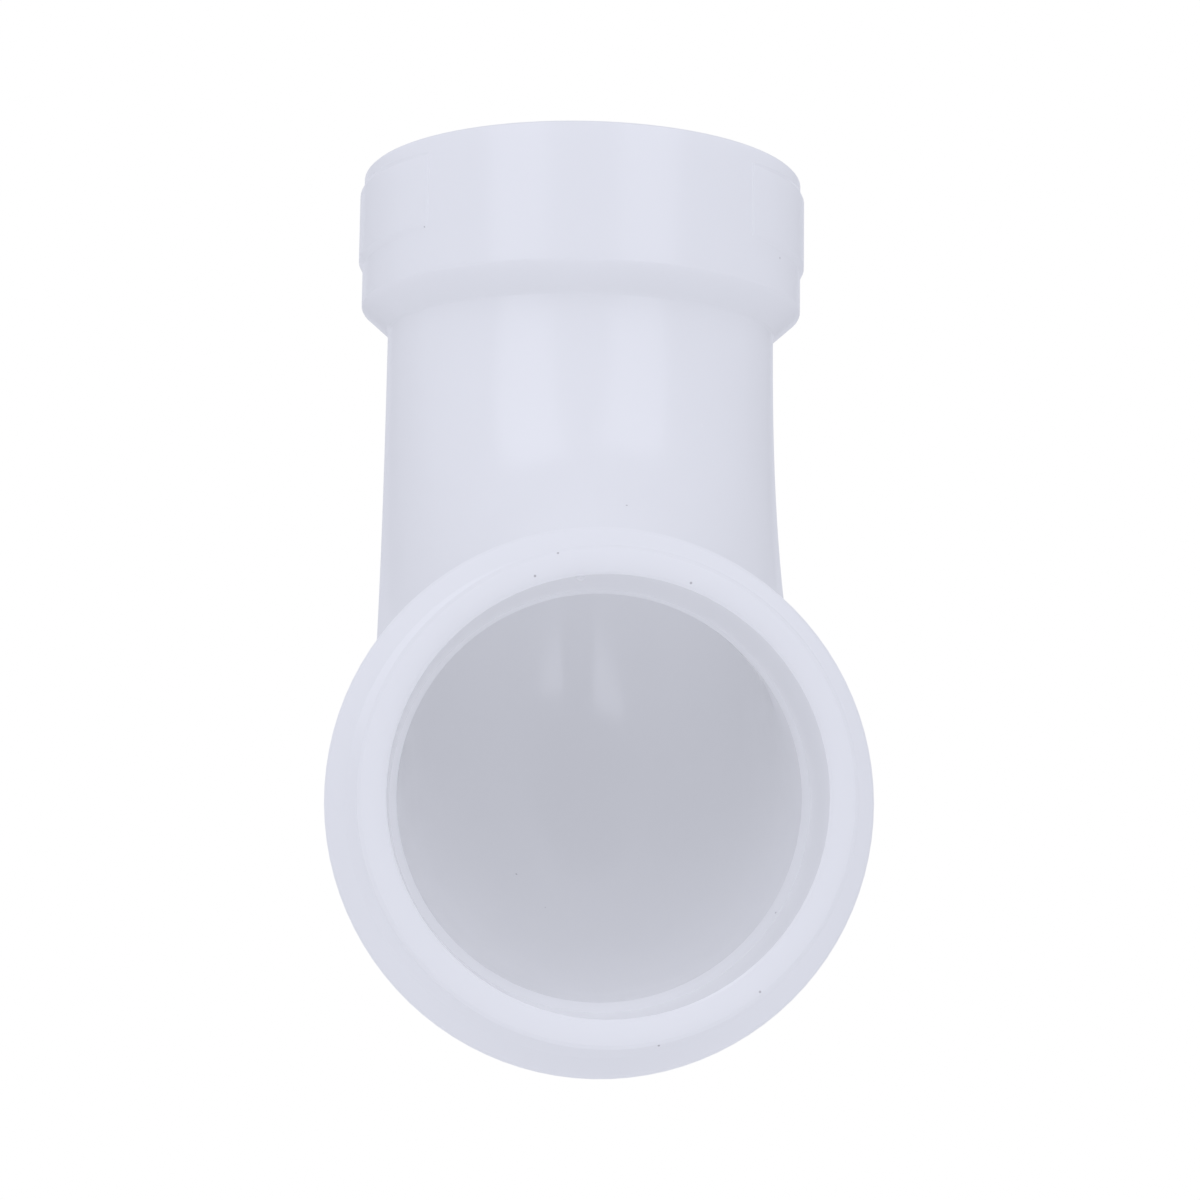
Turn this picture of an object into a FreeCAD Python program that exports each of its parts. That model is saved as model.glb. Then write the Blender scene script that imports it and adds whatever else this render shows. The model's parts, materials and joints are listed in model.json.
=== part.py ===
import FreeCAD, Part
import math
import os

from FreeCAD import Vector

# Street elbow for nominal two-inch drain pipe, moulded in one piece of white PVC.
# Millimetres, +Z up. The origin is the centre of the hub's seat, where a pipe's end stops.
# The hub opens along +Z. The street end, which goes into another fitting's hub, points along -Y.

# Pipe that the fitting is made for
pipe_radius = 30.16

# Hub, the end that takes a pipe. Its full width goes on below the seat for the height of the skirt,
# and then slopes in to the body at the shoulder.
socket_depth = 19.05
socket_clearance = 0.09
hub_wall = 3.95
hub_skirt = 1.45
shoulder_height = 3.7

# Raised plain pads on both flanks of the hub, with sloped borders above and below. A pad's face is
# turned about a line beside the hub's axis, so it is thickest at its middle and thin at its ends.
pad_height = 12.8
pad_below_rim = 1.7
pad_thickness = 0.6
pad_border = 1.2
pad_axis_offset = 1.14
pad_spread = 94.0

# Long-sweep bend, with a short straight length between the shoulder and the bend. Its bore is
# a small step narrower than the street end's.
bore_step = 0.85
body_wall = 4.3
bend_radius = 72.0
straight_above_bend = 2.35

# Street end: a spigot, and the collar that stops it. The collar's front lies a little way back
# from where the bend would come round to the spigot's axis.
collar_inset = 5.5
spigot_length = 16.0
spigot_wall = 3.56
collar_height = 4.59
collar_land = 4.0
collar_fillet = 1.5

# Small sloped ledge inside the street end, where its straight bore meets the bend's narrower one.
# The angle is between the slope and the street end's axis.
ledge_behind_collar_front = 0.6
ledge_angle = 31.6

# Edges, as narrow flats across each corner. Each size is how far the flat is set back along both sides.
# The root of the spigot is the radius of a hollow round, which two flats follow.
rim_edge = 0.25
socket_mouth_edge = 0.5
seat_edge = 0.5
shoulder_edge = 0.15
shoulder_foot = 0.25
spigot_edge = 0.5
spigot_mouth_edge = 0.3
spigot_root = 2.0
collar_edge = 0.35

# Sizes that follow from the ones above
socket_radius = pipe_radius + socket_clearance
hub_radius = socket_radius + hub_wall
spigot_bore_radius = pipe_radius - spigot_wall
waterway_radius = spigot_bore_radius - bore_step
body_radius = waterway_radius + body_wall
collar_radius = pipe_radius + collar_height
rim_z = socket_depth
hub_bottom_z = -hub_skirt
shoulder_bottom_z = hub_bottom_z - shoulder_height
bend_top_z = shoulder_bottom_z - straight_above_bend
street_axis_z = bend_top_z - bend_radius
collar_front_y = collar_inset - bend_radius
collar_back_y = collar_front_y + collar_land
spigot_face_y = collar_front_y - spigot_length
ledge_start_y = collar_front_y + ledge_behind_collar_front

seat_centre = Vector(0, 0, 0)
bend_start = Vector(0, 0, bend_top_z)
bend_centre = Vector(0, -bend_radius, bend_top_z)
street_axis_point = Vector(0, 0, street_axis_z)
full_turn = 360.0

# Amount by which cutting tools and trimming blocks reach past what they cut
overrun = 1.0
# Difference below which two lengths count as the same
tolerance = 0.001


def edged_face(corners):
    """Flat face inside a closed outline of (point, edge size), with a flat across each corner."""
    points = [point for point, size in corners]
    outline = []
    for index, (corner, size) in enumerate(corners):
        before = points[index - 1]
        after = points[(index + 1) % len(points)]
        outline.append(corner + (before - corner).normalize() * size)
        if size > 0:
            outline.append(corner + (after - corner).normalize() * size)
    return Part.Face(Part.makePolygon(outline + outline[:1]))


def turned_about_hub(outline, spread=full_turn):
    """Solid turned about the hub's axis from (radius, z, edge size) corners, its spread centred on +X."""
    corners = [(Vector(radius, 0, z), size) for radius, z, size in outline]
    solid = edged_face(corners).revolve(seat_centre, Vector(0, 0, 1), spread)
    solid.rotate(seat_centre, Vector(0, 0, 1), -spread / 2)
    return solid


def turned_about_street(outline):
    """Solid turned about the street end's axis from (radius, y, edge size) corners."""
    corners = [(street_axis_point + Vector(radius, y, 0), size) for radius, y, size in outline]
    return edged_face(corners).revolve(street_axis_point, Vector(0, 1, 0), full_turn)


def bend(radius):
    """Quarter bend of a round bar, from below the hub to the street end's axis."""
    circle = Part.Circle(bend_start, Vector(0, 0, 1), radius)
    section = Part.Face(Part.Wire(circle.toShape()))
    # A turn that puts the circle's own start on the inside of the bend
    section.rotate(bend_start, Vector(0, 0, 1), -full_turn / 4)
    return section.revolve(bend_centre, Vector(-1, 0, 0), full_turn / 4)


def hub_outside():
    """Hub, its sloped shoulder and the straight length of body above the bend."""
    return turned_about_hub([
        (0, rim_z, 0),
        (hub_radius, rim_z, rim_edge),
        (hub_radius, hub_bottom_z, shoulder_edge),
        (body_radius, shoulder_bottom_z, shoulder_foot),
        (body_radius, bend_top_z, 0),
        (0, bend_top_z, 0),
    ])


def hub_inside():
    """Socket with a flared mouth, its seat and the waterway down to the bend."""
    flare = socket_radius + socket_mouth_edge + overrun
    return turned_about_hub([
        (0, rim_z + overrun, 0),
        (flare, rim_z + overrun, 0),
        (flare, rim_z, 0),
        (socket_radius, rim_z, socket_mouth_edge),
        (socket_radius, 0, 0),
        (waterway_radius, 0, seat_edge),
        (waterway_radius, bend_top_z, 0),
        (0, bend_top_z, 0),
    ])


def street_outside():
    """Spigot and the collar that stops it, with the hub shoulder's slope behind the collar."""
    slope = shoulder_height / (hub_radius - body_radius)
    slope_end_y = collar_back_y + slope * (collar_radius - waterway_radius)
    # Distance of the root's middle from both sides of its corner
    root_middle = spigot_root * (1 - math.sqrt(0.5))
    return turned_about_street([
        (0, spigot_face_y, 0),
        (pipe_radius, spigot_face_y, spigot_edge),
        (pipe_radius, collar_front_y - spigot_root, 0),
        (pipe_radius + root_middle, collar_front_y - root_middle, 0),
        (pipe_radius + spigot_root, collar_front_y, 0),
        (collar_radius, collar_front_y, collar_edge),
        (collar_radius, collar_back_y, collar_edge),
        (waterway_radius, slope_end_y, 0),
        (0, slope_end_y, 0),
    ])


def street_inside():
    """Straight bore of the street end, closing in a cone that reaches inside the bend's bore."""
    flare = spigot_bore_radius + spigot_mouth_edge + overrun
    cone_end_radius = waterway_radius - overrun
    cone_length = (spigot_bore_radius - cone_end_radius) / math.tan(math.radians(ledge_angle))
    return turned_about_street([
        (0, spigot_face_y - overrun, 0),
        (flare, spigot_face_y - overrun, 0),
        (flare, spigot_face_y, 0),
        (spigot_bore_radius, spigot_face_y, spigot_mouth_edge),
        (spigot_bore_radius, ledge_start_y, 0),
        (cone_end_radius, ledge_start_y + cone_length, 0),
        (0, ledge_start_y + cone_length, 0),
    ])


def behind_collar_front(shape):
    """The part of a shape that lies behind the plane of the collar's front."""
    box = shape.BoundBox
    block = Part.makeBox(
        box.XLength + 2 * overrun,
        box.YMax + overrun - collar_front_y,
        box.ZLength + 2 * overrun,
        Vector(box.XMin - overrun, collar_front_y, box.ZMin - overrun),
    )
    return shape.common(block)


def hub_pad(facing):
    """Raised pad on one flank of the hub, centred on the direction facing, in degrees from +X."""
    top_z = rim_z - pad_below_rim
    bottom_z = top_z - pad_height
    outer = hub_radius + pad_thickness - pad_axis_offset
    # Its borders go on as far again inside the hub's wall
    inner = outer - 2 * pad_thickness
    pad = turned_about_hub([
        (inner, bottom_z - pad_border, 0),
        (outer, bottom_z + pad_border, 0),
        (outer, top_z - pad_border, 0),
        (inner, top_z + pad_border, 0),
    ], pad_spread)
    pad.translate(Vector(pad_axis_offset, 0, 0))
    pad.rotate(seat_centre, Vector(0, 0, 1), facing)
    return pad


def is_bend(surface):
    """True for the curved surface of the long bend."""
    return isinstance(surface, Part.Toroid) and abs(surface.MajorRadius - bend_radius) < tolerance


def slope_to_bend_edges(shape):
    """Edges along which the slope behind the collar runs into the bend."""
    bend_faces = [face for face in shape.Faces if is_bend(face.Surface)]
    slope_faces = [face for face in shape.Faces if isinstance(face.Surface, Part.Cone)]
    bend_edges = [edge for face in bend_faces for edge in face.Edges]
    slope_edges = [edge for face in slope_faces for edge in face.Edges]
    return [edge for edge in bend_edges if any(edge.isSame(other) for other in slope_edges)]


def street_elbow():
    """Whole fitting: outside forms joined, then the waterway cut through them."""
    street = street_outside().fuse(behind_collar_front(bend(body_radius)))
    outside = street.fuse([hub_outside(), hub_pad(0), hub_pad(full_turn / 2)]).removeSplitter()
    outside = outside.makeFillet(collar_fillet, slope_to_bend_edges(outside))
    inside = bend(waterway_radius).fuse([hub_inside(), street_inside()])
    return outside.cut(inside).removeSplitter()


os.makedirs("parts", exist_ok=True)
elbow = street_elbow()
print("solids", len(elbow.Solids), "valid", elbow.isValid(), "volume", round(elbow.Volume, 1))
elbow.exportStep("parts/street_elbow.step")
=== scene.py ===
# %% [markdown]
# # A white drain pipe elbow
# The object is a street elbow: a quarter bend of white PVC pipe with a socket, the hub, at its top
# and a plain spigot with a collar round its root, the street end, at its front. It is moulded in one
# piece, so its whole shape comes ready made from the frame. What is left to Blender is how it looks:
# the camera, the bright studio, the small mark of the mould's gate, and a plastic that is almost
# white but never flat in colour.

# %% Load the frame
import json
import math

import bmesh
import bpy
from mathutils import Matrix, Quaternion, Vector


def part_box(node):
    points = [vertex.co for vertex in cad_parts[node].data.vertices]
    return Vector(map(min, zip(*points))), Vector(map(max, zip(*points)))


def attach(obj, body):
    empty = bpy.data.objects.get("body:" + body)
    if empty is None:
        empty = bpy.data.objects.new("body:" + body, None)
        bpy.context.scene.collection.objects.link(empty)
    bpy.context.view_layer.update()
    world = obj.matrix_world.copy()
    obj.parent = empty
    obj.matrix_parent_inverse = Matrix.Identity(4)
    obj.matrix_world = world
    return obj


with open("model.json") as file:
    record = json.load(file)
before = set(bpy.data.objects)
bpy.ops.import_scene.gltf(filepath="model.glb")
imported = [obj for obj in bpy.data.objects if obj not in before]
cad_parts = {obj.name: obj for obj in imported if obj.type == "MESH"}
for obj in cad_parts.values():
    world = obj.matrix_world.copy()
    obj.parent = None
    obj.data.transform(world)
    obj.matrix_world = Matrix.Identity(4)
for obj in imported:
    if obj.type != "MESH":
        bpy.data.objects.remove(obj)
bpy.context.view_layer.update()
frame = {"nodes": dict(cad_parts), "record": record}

elbow = frame["nodes"]["street_elbow"]
lowest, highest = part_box("street_elbow")
mounts = {mount["name"]: mount for mount in frame["record"]["mounts"]}
print("elbow from", tuple(lowest), "to", tuple(highest))

# %% [markdown]
# ## Camera
# The picture looks a little upwards into the open street end, from straight in front and less than
# forty centimetres away, so the near opening looks larger than the hub. A camera that was set by eye
# would miss that strong perspective. This one was worked out from the circles of the object, and it
# stands beside the object's own axes, so its place reads in metres from the middle of the hub's seat.

# %% Camera
SENSOR_MM = 36.0


def add_camera(place, turn_degrees, lens_mm):
    """The scene's camera. It would look straight down if it were not turned about X, Y and Z."""
    data = bpy.data.cameras.new("camera")
    data.lens = lens_mm
    data.sensor_width = SENSOR_MM
    camera = bpy.data.objects.new("camera", data)
    camera.location = place
    camera.rotation_euler = [math.radians(angle) for angle in turn_degrees]
    bpy.context.scene.collection.objects.link(camera)
    bpy.context.scene.camera = camera
    return camera


camera = add_camera(
    place=(-0.01945, -0.37565, -0.09118),
    turn_degrees=(96.804, -0.770, -3.604),
    lens_mm=73.585,
)
print("camera is", round((camera.location - elbow.location).length, 3), "m from the seat")

# %% [markdown]
# ## Room
# The photograph has a pure white background with no horizon and no shadow. A pale floor well below
# the elbow and a sky that only the camera sees as pure white give that. The floor has no more than
# four metres on a side, because the far edge of a wider one comes up into the picture. The sky's
# light on the object is much weaker and a little blue, because the white plastic is seen in soft,
# slightly cool light.
#
# The photograph is also very pale: its darkest place, deep inside the pipe, is still three quarters
# of white. The light itself falls off much more than that, so the picture was developed with a strong
# gamma. The same gamma in the view settings lets the lights keep their true strengths.

# %% Room
COOL = (0.955, 1.0, 1.255)
PURE_WHITE = (1.0, 1.0, 1.0)
FLOOR_COLOUR = (0.95, 0.95, 0.95)
FLOOR_ROUGHNESS = 0.9
DEVELOPED_GAMMA = 2.05


def add_floor(drop, width):
    """Square floor, the drop below the elbow's lowest point. It is not attached to the part."""
    bpy.ops.object.select_all(action="DESELECT")
    bpy.ops.mesh.primitive_plane_add(size=width, location=(0, 0, lowest.z - drop))
    floor = bpy.context.object
    floor.name = "floor"
    bpy.ops.object.transform_apply(location=True, rotation=False, scale=False)
    paint = bpy.data.materials.new("floor_paint")
    paint.use_nodes = True
    shader = paint.node_tree.nodes["Principled BSDF"]
    shader.inputs["Base Color"].default_value = (*FLOOR_COLOUR, 1)
    shader.inputs["Roughness"].default_value = FLOOR_ROUGHNESS
    floor.data.materials.append(paint)
    return floor


def add_sky(light_colour, strength):
    """Pure white where the camera sees it, and a softer light of the given colour on the object."""
    world = bpy.data.worlds.new("white_sky")
    world.use_nodes = True
    nodes, links = world.node_tree.nodes, world.node_tree.links
    light = nodes["Background"]
    light.inputs["Color"].default_value = (*light_colour, 1)
    light.inputs["Strength"].default_value = strength
    seen = nodes.new("ShaderNodeBackground")
    seen.inputs["Color"].default_value = (*PURE_WHITE, 1)
    ray = nodes.new("ShaderNodeLightPath")
    choice = nodes.new("ShaderNodeMixShader")
    links.new(ray.outputs["Is Camera Ray"], choice.inputs["Fac"])
    links.new(light.outputs["Background"], choice.inputs[1])
    links.new(seen.outputs["Background"], choice.inputs[2])
    links.new(choice.outputs["Shader"], nodes["World Output"].inputs["Surface"])
    bpy.context.scene.world = world


floor = add_floor(drop=0.35, width=4.0)
add_sky(light_colour=COOL, strength=0.25)
bpy.context.scene.view_settings.view_transform = "Standard"
bpy.context.scene.view_settings.gamma = DEVELOPED_GAMMA
print("floor is", round(lowest.z - floor.data.vertices[0].co.z, 3), "m below the elbow")

# %% [markdown]
# ## Lights
# Two tall soft lights stand in front, one on each side, and lean away from each other at the top.
# Their reflections are the two pale upright bands on the body and the two pale streaks in the bore.
# They were placed by those bands: the direction in which a shiny surface would mirror the camera's
# view was worked out at the edges of each band, and the light fills the patch between them. Weaker
# lights in front, at the sides, below and behind keep every other side of the elbow readable. All of
# them aim at one point on the hub's axis, a third of the way down to the elbow's lowest point.

# %% Lights
aim = Vector((0, 0, lowest.z / 3))


def add_softbox(name, around, up, distance, size, watts, lean=0):
    """Rectangular light that looks at the aim. Angles in degrees, around from -Y towards +X."""
    data = bpy.data.lights.new(name, "AREA")
    data.shape = "RECTANGLE"
    data.size, data.size_y = size
    data.energy = watts
    data.color = COOL
    light = bpy.data.objects.new(name, data)
    around, up = math.radians(around), math.radians(up)
    direction = Vector((
        math.sin(around) * math.cos(up),
        -math.cos(around) * math.cos(up),
        math.sin(up),
    ))
    light.location = aim + direction * distance
    upright = (-direction).to_track_quat("-Z", "Y")
    leaning = upright @ Quaternion((0, 0, 1), math.radians(lean))
    light.rotation_euler = leaning.to_euler()
    bpy.context.scene.collection.objects.link(light)
    return light


add_softbox("left_softbox", around=-41, up=41, distance=1.2, size=(0.66, 1.3), watts=3.5, lean=16)
add_softbox("right_softbox", around=36, up=39, distance=1.2, size=(0.66, 1.25), watts=3.15, lean=-15)
add_softbox("left_reflector", around=-90, up=10, distance=1.2, size=(1.0, 1.2), watts=0.95)
add_softbox("right_reflector", around=90, up=10, distance=1.2, size=(1.0, 1.2), watts=0.55)
add_softbox("front_reflector", around=0, up=12, distance=1.2, size=(1.3, 0.9), watts=0.4)
add_softbox("low_reflector", around=0, up=-15, distance=0.9, size=(0.9, 0.4), watts=0.22)
add_softbox("back_reflector", around=180, up=25, distance=1.2, size=(1.2, 1.0), watts=0.8)
print("lights:", [light.name for light in bpy.data.lights])

# %% [markdown]
# ## White PVC
# Moulded PVC is a cool white, satin outside and glossier inside, because the steel core that forms
# the bore is polished smoother than the outer mould. Light goes a few millimetres into the plastic
# before it comes back, which softens every edge, so subsurface scattering carries the colour.
#
# The material needs to know which points lie in the bore. A painted mask would need a flat map of a
# curved pipe. It is simpler to measure each point's distance from the bore's middle line, which is
# straight in both ends and a quarter circle between them. One formula covers all three: clamping the
# two coordinates seen from the bend's centre turns the circle into a straight line at each end.

# %% Distance from the middle line of the bore
BEND_RADIUS = 0.072
street_axis = Vector(mounts["spigot"]["pos_m"])
bend_centre = Vector((0, -BEND_RADIUS, street_axis.z + BEND_RADIUS))


def math_node(tree, operation, *operands):
    """Output of one Math node. Each operand is a socket or a number."""
    node = tree.nodes.new("ShaderNodeMath")
    node.operation = operation
    for socket, operand in zip(node.inputs, operands):
        if isinstance(operand, (int, float)):
            socket.default_value = operand
        else:
            tree.links.new(operand, socket)
    return node.outputs["Value"]


def long_side(tree, first, second):
    """Length of the long side of a right triangle with the two given sides."""
    squares = [math_node(tree, "POWER", side, 2.0) for side in (first, second)]
    return math_node(tree, "SQRT", math_node(tree, "ADD", *squares))


def distance_from_bore_line(tree, place):
    """Distance in metres from a place to the nearest point of the bore's middle line."""
    axes = tree.nodes.new("ShaderNodeSeparateXYZ")
    tree.links.new(place, axes.inputs["Vector"])
    behind = math_node(tree, "SUBTRACT", axes.outputs["Y"], bend_centre.y)
    below = math_node(tree, "SUBTRACT", bend_centre.z, axes.outputs["Z"])
    behind = math_node(tree, "MAXIMUM", behind, 0.0)
    below = math_node(tree, "MAXIMUM", below, 0.0)
    off_circle = math_node(tree, "SUBTRACT", long_side(tree, behind, below), BEND_RADIUS)
    return long_side(tree, off_circle, axes.outputs["X"])


print("the bend turns about", tuple(bend_centre), "with a radius of", BEND_RADIUS, "m")

# %% [markdown]
# ## Specks, scuffs and clouds
# Seen close, the plastic holds a few dark specks, each less than half a millimetre wide, and some
# short pale scuffs from handling. Most are scattered by a Voronoi pattern: only what is near each
# cell's point is kept, so they are sparse and never in a row. The ones that the photograph shows best
# are placed one by one, each as a distance from a point on the surface. Squeezing all places along one
# axis first stretches a spot into a scuff. Soft clouds of noise shift the white by one part in fifty.

# %% Specks, scuffs and clouds
SPECKS_PER_METRE = 125.0
SPECK_RADIUS = 0.0002
PLACED_SPECKS = [
    (-0.00935, -0.0825, -0.05339),
    (0.00954, -0.0825, -0.05384),
    (0.01822, -0.0825, -0.10264),
    (-0.00662, -0.08244, -0.05052),
    (-0.02446, -0.02412, 0.00535),
    (0.02862, -0.01979, 0.01171),
    (0.02885, -0.01835, 0.0038),
]
SCUFFS_PER_METRE = 42.0
SCUFF_HALF_WIDTH = 0.00012
SCUFF_STRETCH = 14.0
PLACED_SCUFFS = [(0.0163, -0.02821, -0.02387)]
# Share of a spot's radius inside which it is at its full strength
SPOT_CORE = 0.5
MM_PER_METRE = 1000


def scattered(tree, place, per_metre):
    """Distance in metres to the nearest of many scattered points."""
    cells = tree.nodes.new("ShaderNodeTexVoronoi")
    cells.inputs["Scale"].default_value = per_metre
    tree.links.new(place, cells.inputs["Vector"])
    return math_node(tree, "DIVIDE", cells.outputs["Distance"], per_metre)


def distance_to(tree, place, point):
    """Distance in metres to one given point."""
    gap = tree.nodes.new("ShaderNodeVectorMath")
    gap.operation = "DISTANCE"
    tree.links.new(place, gap.inputs[0])
    gap.inputs[1].default_value = point
    return gap.outputs["Value"]


def spots(tree, place, per_metre, radius, placed, stretch=1.0):
    """1 in small spots, 0 elsewhere, with a soft edge. The spots are longer along Z by the stretch."""
    mapping = tree.nodes.new("ShaderNodeMapping")
    mapping.inputs["Scale"].default_value = (1.0, 1.0, 1.0 / stretch)
    tree.links.new(place, mapping.inputs["Vector"])
    squeezed = mapping.outputs["Vector"]
    nearest = scattered(tree, squeezed, per_metre)
    for x, y, z in placed:
        gap = distance_to(tree, squeezed, (x, y, z / stretch))
        nearest = math_node(tree, "MINIMUM", nearest, gap)
    edge = tree.nodes.new("ShaderNodeMapRange")
    edge.inputs["From Min"].default_value = radius
    edge.inputs["From Max"].default_value = radius * SPOT_CORE
    tree.links.new(nearest, edge.inputs["Value"])
    return edge.outputs["Result"]


def cloud(tree, place, per_metre, detail):
    """Soft noise from 0 to 1, about 0.5 on average. Detail adds finer noise on top."""
    noise = tree.nodes.new("ShaderNodeTexNoise")
    noise.inputs["Scale"].default_value = per_metre
    noise.inputs["Detail"].default_value = detail
    tree.links.new(place, noise.inputs["Vector"])
    return noise.outputs["Fac"]


def blend_colours(tree, amount, first, second):
    """First colour where the amount is 0, second where it is 1. Each is a socket or a colour."""
    mix = tree.nodes.new("ShaderNodeMix")
    mix.data_type = "RGBA"
    tree.links.new(amount, mix.inputs["Factor"])
    for name, colour in (("A", first), ("B", second)):
        socket = next(s for s in mix.inputs if s.name == name and s.type == "RGBA")
        if isinstance(colour, tuple):
            socket.default_value = (*colour, 1)
        else:
            tree.links.new(colour, socket)
    return next(s for s in mix.outputs if s.type == "RGBA")


for spot, half_width in (("speck", SPECK_RADIUS), ("scuff", SCUFF_HALF_WIDTH)):
    print("a", spot, "is", round(2 * half_width * MM_PER_METRE, 2), "mm wide")

# %% [markdown]
# ## The finish
# Three things are worked out for each point: colour, roughness and a very low relief. The relief is a
# slow ripple, a few hundredths of a millimetre high, as the mould was polished by hand, and it makes
# the edges of the reflections wander a little. The clouds of the colour also shift the roughness, so
# a reflection is never equally sharp all over. Scuffs are rougher than what is round them. Only the
# bend's bore is glossy: the bore reach is just past its wall, and the street end's bore is wider.
#
# Light that goes into a piece comes out of the same piece. The pip is smaller than the way the light
# takes, and half of it is sunk in the wall, so at the elbow's depth its light would be lost and it
# would look dark. Its plastic is the same, but with a far shorter way for the light.

# %% The finish
WHITE = (0.988, 0.989, 0.992)
SHADED_WHITE = (0.968, 0.970, 0.975)
CLOUDS_PER_METRE, CLOUD_DETAIL = 26.0, 1.0
SPECK_COLOUR = (0.28, 0.26, 0.26)
SCUFF_COLOUR = (0.998, 0.998, 0.998)
BORE_REACH = 0.0259
SATIN, GLOSS = 0.18, 0.1
ROUGHER_IN_CLOUDS = 0.05
ROUGHER_IN_SCUFFS = 0.2
RIPPLES_PER_METRE, RIPPLE_DETAIL = 55.0, 0.0
RIPPLE_HEIGHT = 0.00005
ELBOW_LIGHT_DEPTH = 0.008
PIP_LIGHT_DEPTH = 0.0001
# Shares of the light depth that red, green and blue light reach
COLOUR_DEPTHS = (1.0, 1.0, 1.0)


def moulded_roughness(tree, place, clouds, scuff):
    """Satin, or glossy in the bend's bore, and rougher in clouds and scuffs."""
    reach = distance_from_bore_line(tree, place)
    in_bore = math_node(tree, "LESS_THAN", reach, BORE_REACH)
    base = math_node(tree, "MULTIPLY_ADD", in_bore, GLOSS - SATIN, SATIN)
    swing = math_node(tree, "MULTIPLY", clouds, ROUGHER_IN_CLOUDS)
    uneven = math_node(tree, "ADD", base, swing)
    scuffed = math_node(tree, "MULTIPLY", scuff, ROUGHER_IN_SCUFFS)
    return math_node(tree, "ADD", uneven, scuffed)


def low_relief(tree, place):
    """Normal of a surface with a slow ripple."""
    bump = tree.nodes.new("ShaderNodeBump")
    bump.inputs["Distance"].default_value = RIPPLE_HEIGHT
    ripple = cloud(tree, place, RIPPLES_PER_METRE, RIPPLE_DETAIL)
    tree.links.new(ripple, bump.inputs["Height"])
    return bump.outputs["Normal"]


def white_pvc(name, light_depth):
    """Moulded plastic, which light enters as deep as the light depth before it comes back."""
    material = bpy.data.materials.new(name)
    material.use_nodes = True
    tree = material.node_tree
    place = tree.nodes.new("ShaderNodeTexCoord").outputs["Object"]
    speck = spots(tree, place, SPECKS_PER_METRE, SPECK_RADIUS, PLACED_SPECKS)
    scuff = spots(tree, place, SCUFFS_PER_METRE, SCUFF_HALF_WIDTH, PLACED_SCUFFS, SCUFF_STRETCH)
    clouds = cloud(tree, place, CLOUDS_PER_METRE, CLOUD_DETAIL)
    colour = blend_colours(tree, clouds, WHITE, SHADED_WHITE)
    colour = blend_colours(tree, scuff, colour, SCUFF_COLOUR)
    colour = blend_colours(tree, speck, colour, SPECK_COLOUR)
    shader = tree.nodes["Principled BSDF"]
    shader.inputs["Subsurface Weight"].default_value = 1.0
    shader.inputs["Subsurface Radius"].default_value = COLOUR_DEPTHS
    shader.inputs["Subsurface Scale"].default_value = light_depth
    tree.links.new(colour, shader.inputs["Base Color"])
    tree.links.new(moulded_roughness(tree, place, clouds, scuff), shader.inputs["Roughness"])
    tree.links.new(low_relief(tree, place), shader.inputs["Normal"])
    return material


elbow_pvc = white_pvc("white_pvc", ELBOW_LIGHT_DEPTH)
pip_pvc = white_pvc("white_pvc_pip", PIP_LIGHT_DEPTH)
elbow.data.materials.clear()
elbow.data.materials.append(elbow_pvc)
print("materials:", [material.name for material in bpy.data.materials])

# %% [markdown]
# ## Gate pip
# At the mouth of the street end, near the top, a round pip a millimetre wide is left where the plastic
# was broken off its runner. It lies along the wall, half sunk in it, and its end has a hollow. A
# sphere or a torus would look stuck on, so the pip starts as a short round stub, whose end is inset,
# sunk and then rounded with a bevel.

# %% Gate pip
PIP_RADIUS = 0.00055
PIP_LENGTH = 0.0009
PIP_SIDES = 32
PIP_RIM = 0.4 * PIP_RADIUS
PIP_HOLLOW = 0.00012
PIP_EDGE = 0.5 * PIP_HOLLOW
PIP_EDGE_STEPS = 3
# Angle from straight up, seen from the front, and how far the pip's end is behind the mouth
PIP_ANGLE = math.radians(-8.1)
PIP_BEHIND_FACE = 0.0006
STREET_BORE_RADIUS = 0.0266
SHARP_ANGLE = math.radians(35)


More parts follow.
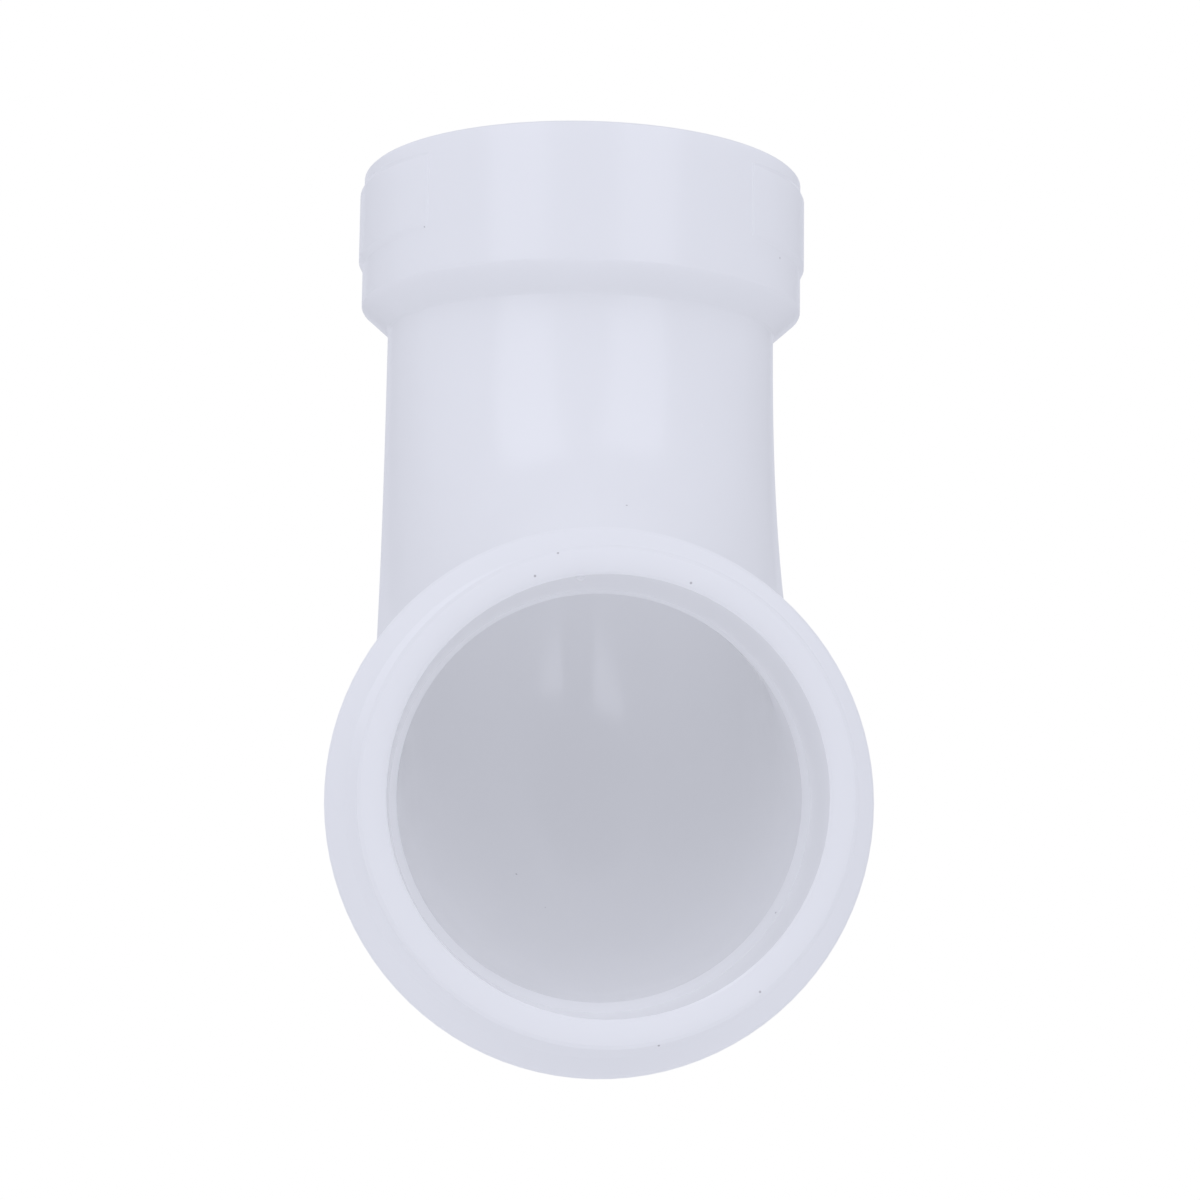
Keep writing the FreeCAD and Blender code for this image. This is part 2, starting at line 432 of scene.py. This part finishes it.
def new_stub(name, radius, length, sides):
    """Short round stub with its foot at the origin, standing along +Z, ready in edit mode."""
    bpy.ops.object.select_all(action="DESELECT")
    middle = (0, 0, length / 2)
    bpy.ops.mesh.primitive_cylinder_add(vertices=sides, radius=radius, depth=length, location=middle)
    stub = bpy.context.object
    stub.name = name
    bpy.ops.object.mode_set(mode="EDIT")
    return stub


def select_top_face(piece):
    """Select only the face that looks straight up."""
    bpy.ops.mesh.select_mode(type="FACE")
    bpy.ops.mesh.select_all(action="DESELECT")
    shape = bmesh.from_edit_mesh(piece.data)
    top = max(shape.faces, key=lambda face: face.normal.z)
    top.select_set(True)
    bmesh.update_edit_mesh(piece.data)


def round_edges(piece, width, steps):
    """Leave edit mode and bevel every sharp edge."""
    bpy.ops.object.mode_set(mode="OBJECT")
    rounding = piece.modifiers.new("rounding", "BEVEL")
    rounding.width = width
    rounding.segments = steps
    rounding.limit_method = "ANGLE"
    bpy.ops.object.modifier_apply(modifier=rounding.name)


def finish_piece(piece, place, outwards, plastic):
    """Stand the piece on the part, with its own +Z outwards, and make it move with the part."""
    turn = Vector(outwards).to_track_quat("Z", "Y").to_matrix().to_4x4()
    piece.matrix_world = Matrix.Translation(place) @ turn
    bpy.ops.object.select_all(action="DESELECT")
    piece.select_set(True)
    bpy.context.view_layer.objects.active = piece
    bpy.ops.object.transform_apply(location=True, rotation=True, scale=True)
    bpy.ops.object.shade_smooth_by_angle(angle=SHARP_ANGLE)
    piece.data.materials.append(plastic)
    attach(piece, "root")


pip = new_stub("gate_pip", PIP_RADIUS, PIP_LENGTH, PIP_SIDES)
select_top_face(pip)
bpy.ops.mesh.inset(thickness=PIP_RIM)
bpy.ops.transform.translate(value=(0, 0, -PIP_HOLLOW))
round_edges(pip, PIP_EDGE, PIP_EDGE_STEPS)
pip_up = Vector((math.sin(PIP_ANGLE), 0, math.cos(PIP_ANGLE)))
pip_foot_y = lowest.y + PIP_BEHIND_FACE + PIP_LENGTH
pip_foot = Vector((0, pip_foot_y, street_axis.z)) + pip_up * STREET_BORE_RADIUS
finish_piece(pip, pip_foot, (0, -1, 0), pip_pvc)
print("gate pip:", len(pip.data.polygons), "faces, its foot at", tuple(pip_foot))
